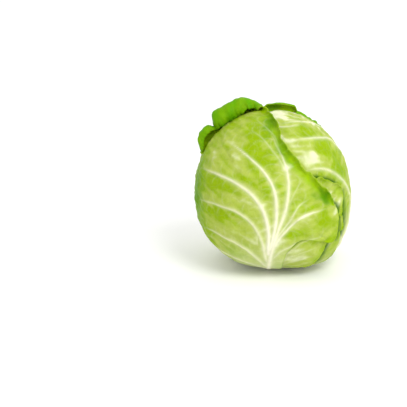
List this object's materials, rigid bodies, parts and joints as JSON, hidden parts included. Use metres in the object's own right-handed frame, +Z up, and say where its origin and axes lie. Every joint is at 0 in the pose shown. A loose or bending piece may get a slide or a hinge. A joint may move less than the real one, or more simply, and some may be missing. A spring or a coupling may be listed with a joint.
{
  "type": "cabbage head",
  "caption": "Whole head of white cabbage standing on its cut stalk, with broad pale green wrapper leaves, darker curled margins and cream ribs.",
  "frame": {"origin": "centre of the cut face of the stalk, on the surface the head stands on", "axes": "+Z up through the head from stalk to crown, -Y towards the side with the large front leaf, +X to the right of that side"},
  "size_m": [0.1688, 0.1684, 0.1794],
  "materials": {
    "wrapper_leaf": "satin",
    "inner_leaf": "satin",
    "core": "matte"
  },
  "bodies": {
    "root": {"stalk": "core", "heart": "inner_leaf", "inner_leaf_01": "inner_leaf", "inner_leaf_02": "inner_leaf", "inner_leaf_03": "inner_leaf", "inner_leaf_04": "inner_leaf", "wrapper_leaf_back_left": "wrapper_leaf", "wrapper_leaf_back_right": "wrapper_leaf", "wrapper_leaf_left": "wrapper_leaf", "wrapper_leaf_right": "wrapper_leaf", "wrapper_leaf_lower_right": "wrapper_leaf", "wrapper_leaf_back": "wrapper_leaf", "wrapper_leaf_bottom": "wrapper_leaf", "wrapper_leaf_front": "wrapper_leaf"}
  },
  "joints": []
}
